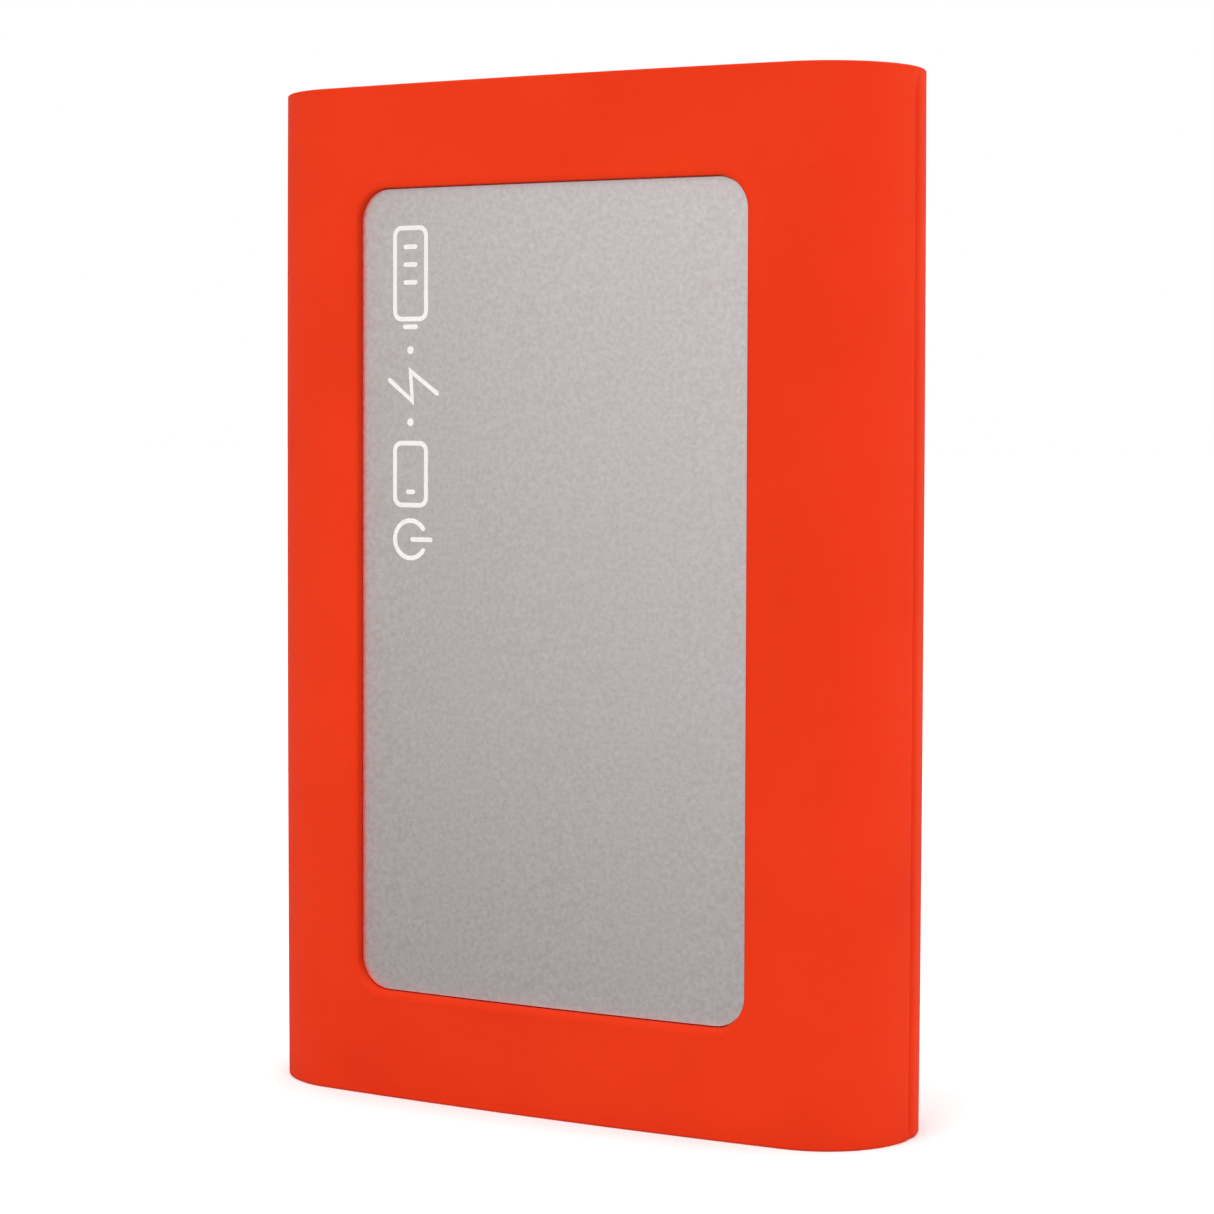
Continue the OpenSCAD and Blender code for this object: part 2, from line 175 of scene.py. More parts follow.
def rounded_outline(w, h, r):
    """Rounded rectangle round the window's middle, anticlockwise from the low end of its right edge.

    Each point is (x, z, nx, nz), with its outward direction.
    """
    out = []
    corners = [(1, 1), (-1, 1), (-1, -1), (1, -1)]
    for turn, (cx, cz) in enumerate(corners):
        before = corners[turn - 1]
        n = (round(math.cos(turn * math.pi / 2)), round(math.sin(turn * math.pi / 2)))
        a = (before[0] * (w / 2 - r) + n[0] * r, before[1] * (h / 2 - r) + n[1] * r)
        b = (cx * (w / 2 - r) + n[0] * r, cz * (h / 2 - r) + n[1] * r)
        for i in range(EDGE_STEPS):
            t = i / EDGE_STEPS
            out.append((a[0] + (b[0] - a[0]) * t, a[1] + (b[1] - a[1]) * t + WINDOW_Z, *n))
        for i in range(CORNER_STEPS):
            q = math.radians(90 * (turn + i / CORNER_STEPS))
            x, z = cx * (w / 2 - r) + r * math.cos(q), cz * (h / 2 - r) + r * math.sin(q)
            out.append((x, z + WINDOW_Z, math.cos(q), math.sin(q)))
    return out


def border_outline(outline, half_s, z0, z1):
    """A point of the border rectangle for each outline point.

    Square across from the edges, evenly spaced round the corners.
    """
    out = []
    per_side = EDGE_STEPS + CORNER_STEPS
    sides = [(half_s, None), (None, z1), (-half_s, None), (None, z0)]

    def across(index, turn):
        s, z = sides[turn % 4]
        return Vector((outline[index][0] if s is None else s, outline[index][1] if z is None else z))

    for turn in range(4):
        first = turn * per_side
        out += [across(first + i, turn) for i in range(EDGE_STEPS)]
        start = across(first + EDGE_STEPS, turn)
        end = across((first + per_side) % len(outline), turn + 1)
        corner = Vector((end.x, start.y)) if turn % 2 else Vector((start.x, end.y))
        half = CORNER_STEPS // 2
        out += [start.lerp(corner, i / half) for i in range(half)]
        out += [corner.lerp(end, i / half) for i in range(half)]
    return out


class Builder:
    def __init__(self):
        self.verts = []
        self.faces = []

    def loop(self, points):
        first = len(self.verts)
        self.verts.extend(points)
        return list(range(first, first + len(points)))

    def bridge(self, a, b):
        n = len(a)
        for i in range(n):
            j = (i + 1) % n
            self.faces.append((a[i], a[j], b[j], b[i]))

    def cap(self, a):
        self.faces.append(tuple(a))


def stadium_outline(w, h, count_from):
    """Stadium points matched by share of length to a closed loop of (x, y) points."""
    straight = w - h
    r = h / 2
    total = 2 * straight + 2 * math.pi * r

    def at(d):
        d = d % total
        quarter = math.pi * r / 2
        if d < quarter:
            q = d / r
            return straight / 2 + r * math.cos(q), r * math.sin(q)
        d -= quarter
        if d < straight:
            return straight / 2 - d, r
        d -= straight
        if d < 2 * quarter:
            q = math.pi / 2 + d / r
            return -straight / 2 + r * math.cos(q), r * math.sin(q)
        d -= 2 * quarter
        if d < straight:
            return -straight / 2 + d, -r
        d -= straight
        q = -math.pi / 2 + d / r
        return straight / 2 + r * math.cos(q), r * math.sin(q)

    lengths = [0.0]
    for a, b in zip(count_from, count_from[1:] + count_from[:1]):
        lengths.append(lengths[-1] + math.hypot(b[0] - a[0], b[1] - a[1]))
    return [at(total * k / lengths[-1]) for k in lengths[:-1]]


def fan(b, side, starts, near, border):
    """The outer skin of one face, as rings from the window's lip out to the body's edges."""
    first = None
    previous = None
    paths = [(starts, near, i / FAN_RINGS) for i in range(FAN_RINGS)]
    paths += [(near, border, i / BORDER_RINGS) for i in range(BORDER_RINGS + 1)]
    for start, end, t in paths:
        points = [p.lerp(q, t) for p, q in zip(start, end)]
        ring = b.loop([outer_point(s, z, side) for s, z in points])
        if previous:
            b.bridge(previous, ring)
        first = first or ring
        previous = ring
    return first


def window_lip(b, side, outline, previous):
    """The rounded lip, from the fan's first ring to the top of the window's wall."""
    for k in range(1, LIP_RINGS + 1):
        q = math.pi / 2 * k / LIP_RINGS
        out = LIP * (1 - math.sin(q))
        inset = LIP_DEPTH * (1 - math.cos(q))
        ring = b.loop([face_point(x + nx * out, z + nz * out, side, inset) for x, z, nx, nz in outline])
        b.bridge(previous, ring)
        previous = ring
    return previous


def lining(b, side, outline, inner_border, previous):
    """The window's wall, then the inner skin out to the body's edges."""
    skin_r = CROWN_R - SLEEVE_WALL
    for k in range(LINING_RINGS + 1):
        t = k / LINING_RINGS
        ring = []
        for (x, z, _, _), (border_s, border_z) in zip(outline, inner_border):
            s = CROWN_R * math.asin(x / skin_r)
            px, py = side_point(s + (border_s - s) * t, side, SLEEVE_WALL)
            ring.append(Vector((px, py, z + (border_z - z) * t)))
        index = b.loop(ring)
        b.bridge(previous, index)
        previous = index


def end_rim(b, end, z_edge, keys):
    """The rounded edge round one end of the body."""
    previous = None
    for k in range(RIM_RINGS + 1):
        q = math.pi / 2 * k / RIM_RINGS
        z = z_edge + end * END_FILLET * math.sin(q)
        inset = END_FILLET * (1 - math.cos(q))
        index = b.loop([outer_point(s, z, side, inset) for s, side in keys])
        if previous:
            b.bridge(previous, index)
        previous = index
    return previous


def closed_end(b, rim_index, inner):
    """The plain bottom end, and its inner face."""
    rim = [b.verts[i].copy() for i in rim_index]
    previous = rim_index
    for share in CLOSED_END_RINGS:
        index = b.loop([Vector((v.x * share, v.y * share, v.z)) for v in rim])
        b.bridge(previous, index)
        previous = index
    b.cap(previous)
    b.cap(inner)


def open_end(b, rim_index, inner, z_in):
    """The top end, with its rounded opening for the bezel."""
    rim = [b.verts[i].copy() for i in rim_index]
    around = [(v.x, v.y) for v in rim]
    previous = rim_index
    mouth = stadium_outline(OPENING_W + 2 * LIP, OPENING_T + 2 * LIP, around)
    for share in OPEN_END_RINGS:
        ring = []
        for v, (mouth_x, mouth_y) in zip(rim, mouth):
            ring.append(Vector((v.x + (mouth_x - v.x) * share, v.y + (mouth_y - v.y) * share, v.z)))
        index = b.loop(ring)
        b.bridge(previous, index)
        previous = index
    for k in range(1, MOUTH_RINGS + 1):
        q = math.pi / 2 * k / MOUTH_RINGS
        out = LIP * (1 - math.sin(q))
        z = high.z - LIP * (1 - math.cos(q))
        mouth = stadium_outline(OPENING_W + 2 * out, OPENING_T + 2 * out, around)
        index = b.loop([Vector((x, y, z)) for x, y in mouth])
        b.bridge(previous, index)
        previous = index
    index = b.loop([Vector((x, y, z_in)) for x, y in mouth])
    b.bridge(previous, index)
    b.bridge(index, inner)


def sleeve():
    """The soft sleeve: two faces with windows, joined along the long sides, and two ends."""
    b = Builder()
    z_low = low.z + END_FILLET
    z_high = high.z - END_FILLET
    outline = rounded_outline(WINDOW_W, WINDOW_H, WINDOW_R)
    wide = rounded_outline(WINDOW_W + 2 * LIP, WINDOW_H + 2 * LIP, WINDOW_R + LIP)
    starts = [Vector((CROWN_R * math.asin(x / CROWN_R), z)) for x, z, _, _ in wide]
    border = border_outline(starts, S_SIDE, z_low, z_high)
    near = border_outline(starts, S_SIDE - BORDER_S, z_low + BORDER_Z, z_high - BORDER_Z)
    shrink = (high.z - low.z - 2 * SLEEVE_WALL) / (z_high - z_low)
    inner_border = [(s, MID_Z + (z - MID_Z) * shrink) for s, z in border]
    for side in (-1, 1):
        first = fan(b, side, starts, near, border)
        wall_top = window_lip(b, side, outline, first)
        lining(b, side, outline, inner_border, wall_top)
    for end, z_edge in ((-1, z_low), (1, z_high)):
        s_values = sorted({s for s, z in border if abs(z - z_edge) < JOIN})
        keys = [(s, 1) for s in reversed(s_values)] + [(s, -1) for s in s_values[1:-1]]
        rim = end_rim(b, end, z_edge, keys)
        z_in = MID_Z + (z_edge - MID_Z) * shrink
        inner = b.loop([Vector((*side_point(s, side, SLEEVE_WALL), z_in)) for s, side in keys])
        if end < 0:
            closed_end(b, rim, inner)
        else:
            open_end(b, rim, inner, z_in)
    obj = make_object("sleeve", b.verts, b.faces, merge=JOIN)
    shade(obj, 40)
    return obj


# ---------------------------------------------------------------- materials
def nodes_of(name):
    material = bpy.data.materials.new(name)
    material.use_nodes = True
    tree = material.node_tree
    return material, tree, tree.nodes["Principled BSDF"]


def coordinates(tree, stretch=(1, 1, 1)):
    texture = tree.nodes.new("ShaderNodeTexCoord")
    mapping = tree.nodes.new("ShaderNodeMapping")
    mapping.inputs["Scale"].default_value = stretch
    tree.links.new(texture.outputs["Object"], mapping.inputs["Vector"])
    return mapping.outputs["Vector"]


def noise(tree, vector, scale, detail=3.0, roughness=0.5):
    node = tree.nodes.new("ShaderNodeTexNoise")
    node.inputs["Scale"].default_value = scale
    node.inputs["Detail"].default_value = detail
    node.inputs["Roughness"].default_value = roughness
    tree.links.new(vector, node.inputs["Vector"])
    return node.outputs["Fac"]


def spread(tree, value, low_in, high_in, low_out, high_out):
    node = tree.nodes.new("ShaderNodeMapRange")
    node.clamp = True
    node.inputs["From Min"].default_value = low_in
    node.inputs["From Max"].default_value = high_in
    node.inputs["To Min"].default_value = low_out
    node.inputs["To Max"].default_value = high_out
    tree.links.new(value, node.inputs["Value"])
    return node.outputs["Result"]


def mix(tree, factor, a, b):
    node = tree.nodes.new("ShaderNodeMix")
    node.data_type = "RGBA"
    for key, value in ((6, a), (7, b)):
        if isinstance(value, tuple):
            node.inputs[key].default_value = (*value, 1.0)
        else:
            tree.links.new(value, node.inputs[key])
    tree.links.new(factor, node.inputs[0])
    return node.outputs[2]


def bump(tree, bsdf, height, strength, distance, under=None):
    node = tree.nodes.new("ShaderNodeBump")
    node.inputs["Strength"].default_value = strength
    node.inputs["Distance"].default_value = distance
    tree.links.new(height, node.inputs["Height"])
    if under:
        tree.links.new(under, node.inputs["Normal"])
    tree.links.new(node.outputs["Normal"], bsdf.inputs["Normal"])
    return node.outputs["Normal"]


def scaled(color, factor):
    return tuple(min(c * factor, 1.0) for c in color)


def plain_surface(name, color, rough, metal=0.0, grain=2500, mottle=0.08, depth=0.01, stretch=(1, 1, 1),
                  coat=0.0):
    """Moulded, cast, drawn or rolled material.

    Two sizes of variation in its colour, one in its gloss, and a fine relief.
    """
    material, tree, bsdf = nodes_of(name)
    vector = coordinates(tree, stretch)
    fine = noise(tree, vector, grain, 4)
    broad = noise(tree, vector, PATCH, 2)
    dark, light = scaled(color, 1 - mottle), scaled(color, 1 + mottle)
    tone = mix(tree, spread(tree, broad, 0.3, 0.7, 0, 1), dark, light)
    speck = mix(tree, spread(tree, fine, 0.35, 0.65, 0, 1), dark, light)
    node = tree.nodes.new("ShaderNodeMix")
    node.data_type = "RGBA"
    node.inputs[0].default_value = 0.4
    tree.links.new(tone, node.inputs[6])
    tree.links.new(speck, node.inputs[7])
    tree.links.new(node.outputs[2], bsdf.inputs["Base Color"])
    gloss = spread(tree, broad, 0.3, 0.7, rough * 0.85, min(rough * 1.15, 1))
    tree.links.new(gloss, bsdf.inputs["Roughness"])
    bsdf.inputs["Metallic"].default_value = metal
    bsdf.inputs["Specular IOR Level"].default_value = 0.5
    bsdf.inputs["Coat Weight"].default_value = coat
    bump(tree, bsdf, fine, 0.5, depth * MM)
    return material


def silicone():
    material, tree, bsdf = nodes_of("sleeve_silicone")
    vector = coordinates(tree)
    skin = noise(tree, vector, 5200, 3)
    broad = noise(tree, vector, 70, 3)
    dust = noise(tree, vector, 1400, 5, 0.7)
    base = mix(tree, spread(tree, broad, 0.3, 0.7, 0, 1), SILICONE_DEEP, SILICONE_LIGHT)
    color = mix(tree, spread(tree, dust, 0.62, 0.8, 0, 0.25), base, SILICONE_DUST)
    tree.links.new(color, bsdf.inputs["Base Color"])
    tree.links.new(spread(tree, dust, 0.3, 0.7, 0.6, 0.72), bsdf.inputs["Roughness"])
    bsdf.inputs["Specular IOR Level"].default_value = 0.04
    bsdf.inputs["Subsurface Weight"].default_value = 0.08
    bsdf.inputs["Subsurface Radius"].default_value = (1.0, 0.15, 0.05)
    bsdf.inputs["Subsurface Scale"].default_value = 0.4 * MM
    bump(tree, bsdf, skin, 0.3, 0.012 * MM)
    return material


def blasted():
    material, tree, bsdf = nodes_of("blasted_aluminium")
    vector = coordinates(tree)
    bead = tree.nodes.new("ShaderNodeTexVoronoi")
    bead.feature = "SMOOTH_F1"
    bead.inputs["Scale"].default_value = 5200
    bead.inputs["Smoothness"].default_value = 0.6
    tree.links.new(vector, bead.inputs["Vector"])
    pit = noise(tree, vector, 2300, 4, 0.65)
    broad = noise(tree, vector, 60, 2)
    tone = mix(tree, spread(tree, broad, 0.3, 0.7, 0, 1), scaled(METAL, 0.975), scaled(METAL, 1.025))
    speck = mix(tree, spread(tree, pit, 0.32, 0.68, 0, 1), scaled(METAL, 0.81), scaled(METAL, 1.14))
    node = tree.nodes.new("ShaderNodeMix")
    node.data_type = "RGBA"
    node.inputs[0].default_value = 0.6
    tree.links.new(tone, node.inputs[6])
    tree.links.new(speck, node.inputs[7])
    tree.links.new(node.outputs[2], bsdf.inputs["Base Color"])
    tree.links.new(spread(tree, pit, 0.3, 0.7, 0.34, 0.42), bsdf.inputs["Roughness"])
    bsdf.inputs["Metallic"].default_value = 1.0
    first = bump(tree, bsdf, bead.outputs["Distance"], 0.35, 0.01 * MM)
    bump(tree, bsdf, pit, 0.65, 0.01 * MM, first)
    return material


def laminate():
    """Solder mask over copper: traces show as slightly lighter lines."""
    material, tree, bsdf = nodes_of("board_laminate")
    vector = coordinates(tree)
    cells = tree.nodes.new("ShaderNodeTexVoronoi")
    cells.feature = "DISTANCE_TO_EDGE"
    cells.distance = "EUCLIDEAN"
    cells.inputs["Scale"].default_value = 420
    cells.inputs["Randomness"].default_value = 0.35
    tree.links.new(vector, cells.inputs["Vector"])
    trace = spread(tree, cells.outputs["Distance"], 0.05, 0.08, 1, 0)
    tree.links.new(mix(tree, trace, (0.012, 0.11, 0.045), (0.03, 0.22, 0.09)), bsdf.inputs["Base Color"])
    tree.links.new(spread(tree, noise(tree, vector, 3000), 0.3, 0.7, 0.3, 0.42), bsdf.inputs["Roughness"])
    bump(tree, bsdf, trace, 0.6, 0.03 * MM)
    return material


def open_foam():
    material, tree, bsdf = nodes_of("foam")
    vector = coordinates(tree)
    cells = tree.nodes.new("ShaderNodeTexVoronoi")
    cells.inputs["Scale"].default_value = 2600
    tree.links.new(vector, cells.inputs["Vector"])
    pore = spread(tree, cells.outputs["Distance"], 0.1, 0.6, 0, 1)
    tree.links.new(mix(tree, pore, (0.03, 0.03, 0.032), (0.15, 0.15, 0.155)), bsdf.inputs["Base Color"])
    bsdf.inputs["Roughness"].default_value = 0.95
    bump(tree, bsdf, pore, 0.8, 0.15 * MM)
    return material


def pouch_foil():
    """Embossed laminate foil, with the soft dents that a packed cell gets."""
    material, tree, bsdf = nodes_of("pouch_foil")
    vector = coordinates(tree)
    dents = noise(tree, vector, 160, 3)
    grain = noise(tree, coordinates(tree, (1, 1, 0.1)), 5000, 3)
    tone = mix(tree, spread(tree, dents, 0.3, 0.7, 0, 1), (0.48, 0.49, 0.51), (0.6, 0.61, 0.63))
    tree.links.new(tone, bsdf.inputs["Base Color"])
    tree.links.new(spread(tree, grain, 0.3, 0.7, 0.28, 0.4), bsdf.inputs["Roughness"])
    bsdf.inputs["Metallic"].default_value = 1.0
    first = bump(tree, bsdf, dents, 0.5, 0.4 * MM)
    bump(tree, bsdf, grain, 0.3, 0.01 * MM, first)
    return material


def milky():
    material, tree, bsdf = nodes_of("light_pipe_plastic")
    vector = coordinates(tree)
    haze = noise(tree, vector, 900, 3)
    tone = mix(tree, spread(tree, haze, 0.3, 0.7, 0, 1), (0.78, 0.78, 0.75), (0.88, 0.88, 0.86))
    tree.links.new(tone, bsdf.inputs["Base Color"])
    tree.links.new(spread(tree, haze, 0.3, 0.7, 0.22, 0.34), bsdf.inputs["Roughness"])
    bsdf.inputs["Transmission Weight"].default_value = 0.35
    bsdf.inputs["Subsurface Weight"].default_value = 0.3
    bsdf.inputs["Subsurface Scale"].default_value = 1 * MM
    bump(tree, bsdf, haze, 0.2, 0.01 * MM)
    return material


PATCH = 250
SILICONE_DEEP = (0.65, 0.0305, 0.0062)
SILICONE_LIGHT = (0.69, 0.0355, 0.007)
SILICONE_DUST = (0.68, 0.047, 0.016)
METAL = (0.99, 0.88, 0.872)

MATERIALS = {
    "sleeve_silicone": silicone(),
    "blasted_aluminium": blasted(),
    "board_laminate": laminate(),
    "foam": open_foam(),
    "pouch_foil": pouch_foil(),
    "light_pipe_plastic": milky(),
    "black_rubber": plain_surface("black_rubber", (0.028, 0.028, 0.032),
        0.7, grain=3000, mottle=0.15, depth=0.02),
    "dark_steel": plain_surface("dark_steel", (0.22, 0.22, 0.23),
        0.38, 1, grain=1500, mottle=0.2, stretch=(1, 6, 1)),
    "bezel_plastic": plain_surface("bezel_plastic", (0.024, 0.024, 0.027),
        0.5, grain=4200, mottle=0.12, depth=0.02),
    "led_package": plain_surface("led_package", (0.86, 0.80, 0.5), 0.35, grain=1800, mottle=0.06),
    "button_plastic": plain_surface("button_plastic", (0.045, 0.045, 0.05),
        0.4, grain=3600, mottle=0.1, depth=0.012),
    "switch_plastic": plain_surface("switch_plastic", (0.09, 0.09, 0.1), 0.55, grain=2600, mottle=0.12),
    "plunger_plastic": plain_surface("plunger_plastic", (0.68, 0.11, 0.075),
        0.45, grain=2600, mottle=0.08),
    "spring_steel": plain_surface("spring_steel", (0.66, 0.66, 0.64),
        0.22, 1, grain=2200, stretch=(1, 8, 1)),
    "socket_steel": plain_surface("socket_steel", (0.57, 0.57, 0.57),
        0.27, 1, grain=2400, stretch=(1, 1, 8)),
    "tongue_plastic": plain_surface("tongue_plastic", (0.03, 0.03, 0.032),
        0.5, grain=2800, mottle=0.12),
    "contact_gold": plain_surface("contact_gold", (0.80, 0.57, 0.2),
        0.22, 1, grain=3000, stretch=(1, 1, 5)),
    "bright_steel": plain_surface("bright_steel", (0.66, 0.66, 0.67),
        0.3, 1, grain=1800, stretch=(1, 5, 1)),
    "chip_epoxy": plain_surface("chip_epoxy", (0.03, 0.03, 0.031),
        0.6, grain=3800, mottle=0.2, depth=0.02),
    "ferrite": plain_surface("ferrite", (0.16, 0.16, 0.17), 0.62, grain=1900, mottle=0.25, depth=0.03),
    "capacitor_ceramic": plain_surface("capacitor_ceramic", (0.55, 0.38, 0.25),
        0.45, grain=3400, mottle=0.15),
    "resistor_ceramic": plain_surface("resistor_ceramic", (0.035, 0.035, 0.04),
        0.3, grain=3400, mottle=0.2),
    "cradle_plastic": plain_surface("cradle_plastic", (0.05, 0.05, 0.055),
        0.5, grain=1500, mottle=0.15, depth=0.03),
    "tab_nickel": plain_surface("tab_nickel", (0.6, 0.57, 0.5), 0.3, 1, grain=1700, stretch=(1, 1, 6)),
    "tape_film": plain_surface("tape_film", (0.68, 0.42, 0.05), 0.2, grain=900, mottle=0.12, coat=0.4),
    "lead_red": plain_surface("lead_red", (0.55, 0.025, 0.018), 0.38, grain=1500, mottle=0.08),
    "lead_black": plain_surface("lead_black", (0.02, 0.02, 0.022), 0.38, grain=1500, mottle=0.12),
    "thermistor_epoxy": plain_surface("thermistor_epoxy", (0.1, 0.1, 0.1),
        0.28, grain=1300, mottle=0.15),
    "print_white": plain_surface("print_white", (0.76, 0.72, 0.73),
        0.5, grain=2600, mottle=0.04, depth=0.004),
}


def dress(obj, slot_name):
    obj.data.materials.clear()
    obj.data.materials.append(MATERIALS[slot_name])
    return obj


# ---------------------------------------------------------------- carried-over parts
def soften(name, width, angle=42):
    """Fine rounding on a carried-over hard part's edges, without touching its own mesh.

    A width of 0 only joins its faces.
    """
    obj = frame["nodes"][name]
    weld = obj.modifiers.new("weld", "WELD")
    weld.merge_threshold = JOIN / 2
    if not width:
        return obj
    flat = obj.modifiers.new("flat", "DECIMATE")
    flat.decimate_type = "DISSOLVE"
    flat.angle_limit = math.radians(0.6)
    bevel = obj.modifiers.new("edges", "BEVEL")
    bevel.width = width * MM
    bevel.segments = 2
    bevel.limit_method = "ANGLE"
    bevel.angle_limit = math.radians(angle)
    bevel.harden_normals = True
    bevel.use_clamp_overlap = True
    clean = obj.modifiers.new("clean", "WELD")
    clean.merge_threshold = JOIN
    return obj


def slot_of(node):
    for part in frame["record"]["subparts"]:
        if part["node"] == node:
            return part["material_slot"]
    raise KeyError(node)


# How far each hard part's edges are rounded, in mm.
SOFTENED = {
    "port_bezel": 0.12, "light_pipe": 0.08, "button_cap": 0.18, "usb_shell": 0.06, "usb_tongue": 0.06,
    "usb_contacts": 0.02, "cover_screws": 0.08, "board_screws": 0.08, "charger_chip": 0.02,
    "boost_chip": 0.05, "boost_inductor": 0.08, "capacitors": 0.05, "resistors": 0.03,
    "cell_cradle": 0.12, "protection_board": 0.04, "protection_chips": 0.04, "main_board": 0.04,
    "switch_body": 0.08, "switch_plunger": 0.08, "charge_leds": 0.04, "thermistor": 0,
    "cell_tabs": 0.02, "pouch_cell": 0.25, "seam_gasket": 0.08, "port_seal": 0.1, "cell_tape": 0.02,
}


# ---------------------------------------------------------------- the metal covers
def cover(node, side):
    """The half shell again, with rounded edges, and normals that follow its panel's true curve."""
    source = frame["nodes"][node]
    mesh = source.data.copy()
    mesh.name = node + "_finished"
    obj = bpy.data.objects.new(node + "_finished", mesh)
    scene.collection.objects.link(obj)
    bm = bmesh.new()
    bm.from_mesh(mesh)
    bmesh.ops.remove_doubles(bm, verts=bm.verts, dist=JOIN)
    bmesh.ops.dissolve_limit(bm, angle_limit=math.radians(0.4), verts=bm.verts, edges=bm.edges)
    bm.to_mesh(mesh)
    bm.free()
    bevel = obj.modifiers.new("edges", "BEVEL")
    bevel.width = PANEL_EDGE
    bevel.segments = 4
    bevel.limit_method = "ANGLE"
    bevel.angle_limit = math.radians(50)
    bevel.use_clamp_overlap = True
    evaluated = obj.evaluated_get(bpy.context.evaluated_depsgraph_get())
    obj.data = bpy.data.meshes.new_from_object(evaluated)
    obj.modifiers.clear()
    shade(obj, 40)
    mesh = obj.data
    panel_r = CROWN_R - RECESS
    normals = [Vector(n.vector) for n in mesh.corner_normals]
    for loop in mesh.loops:
        co = mesh.vertices[loop.vertex_index].co
        if abs(co.x) > WINDOW_W / 2:
            continue
        true_y = CROWN_R - HALF_T - math.sqrt(panel_r ** 2 - co.x ** 2)
        if abs(-side * true_y - co.y) < PANEL_TOLERANCE:
            normals[loop.index] = Vector((co.x / panel_r, side * math.sqrt(1 - (co.x / panel_r) ** 2), 0))
    mesh.normals_split_custom_set([tuple(n) for n in normals])
    dress(obj, slot_of(node))
    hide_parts(node)
    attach(obj, "case")
    return obj


# ---------------------------------------------------------------- snap dome
DOME_WALL = 0.1 * MM
DOME_STEPS = 18
DOME_AROUND = 64


def snap_dome():
    """The switch's spring dome, turned from its profile."""
    a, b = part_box("switch_dome")
    middle = (a + b) / 2
    reach = (b.x - a.x) / 2
    rise = b.z - a.z
    ball = (reach ** 2 + rise ** 2) / (2 * rise)
    builder = Builder()
    previous = None
    profile = []
    for inner in (False, True):
        r = ball - (DOME_WALL if inner else 0)
        end = math.acos((ball - rise) / r)
        angles = [end * i / DOME_STEPS for i in range(1, DOME_STEPS + 1)]
        for q in (reversed(angles) if inner else angles):
            profile.append((r * math.sin(q), a.z + rise - ball + r * math.cos(q)))
    for radius, z in profile:
        ring = [Vector((middle.x + radius * math.cos(q), middle.y + radius * math.sin(q), z))
                for q in (2 * math.pi * i / DOME_AROUND for i in range(DOME_AROUND))]
        index = builder.loop(ring)
        if previous:
            builder.bridge(previous, index)
        else:
            builder.cap(index)
        previous = index
    builder.cap(previous)
    obj = make_object("snap_dome", builder.verts, builder.faces)
    shade(obj, 40)
    dress(obj, "spring_steel")
    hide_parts("switch_dome")
    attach(obj, "case")
    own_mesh(obj)
    return obj


# ---------------------------------------------------------------- foam pads
FOAM_TRIM = Vector((0.1, 0.03, 0.1)) * MM
FOAM_BELLY = 0.12


def foam_pad(node):
    """Cut foam: a block with soft edges that bellies slightly between its faces."""
    a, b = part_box(node)
    middle = (a + b) / 2
    half = (b - a) / 2 - FOAM_TRIM
    bm = bmesh.new()
    bmesh.ops.create_grid(bm, x_segments=34, y_segments=50, size=1.0)
    for v in bm.verts:
        x, z = v.co.x, v.co.y
        edge = max(abs(x), abs(z))
        v.co = Vector((x * half.x, half.y * (1 - FOAM_BELLY * edge ** 8), z * half.z))
    bmesh.ops.recalc_face_normals(bm, faces=bm.faces)
    twin = bmesh.ops.duplicate(bm, geom=bm.verts[:] + bm.edges[:] + bm.faces[:])
    for v in [g for g in twin["geom"] if isinstance(g, bmesh.types.BMVert)]:
        v.co.y = -v.co.y
    bmesh.ops.bridge_loops(bm, edges=[e for e in bm.edges if e.is_boundary])
    bmesh.ops.recalc_face_normals(bm, faces=bm.faces)
    mesh = bpy.data.meshes.new(node + "_cut")
    bm.to_mesh(mesh)
    bm.free()
    obj = bpy.data.objects.new(node + "_cut", mesh)
    obj.data.transform(Matrix.Translation(middle))
    scene.collection.objects.link(obj)
    shade(obj, 45)
    dress(obj, "foam")
    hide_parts(node)
    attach(obj, "case")
    return obj


# ---------------------------------------------------------------- printed signs
PRINT_X = -16.05 * MM
PRINT_TOP = 79.1 * MM
STROKE = 0.42 * MM
DOT = 0.7 * MM
PRINT_RISE = 0.012 * MM


def arc(cx, cy, r, start, end, steps=12):
    return [(cx + r * math.cos(math.radians(start + (end - start) * i / steps)),
             cy + r * math.sin(math.radians(start + (end - start) * i / steps))) for i in range(steps + 1)]


def rounded_box(u0, v0, u1, v1, r):
    return (arc(u1 - r, v1 - r, r, 0, 90, 6) + arc(u0 + r, v1 - r, r, 90, 180, 6)
            + arc(u0 + r, v0 + r, r, 180, 270, 6) + arc(u1 - r, v0 + r, r, 270, 360, 6))


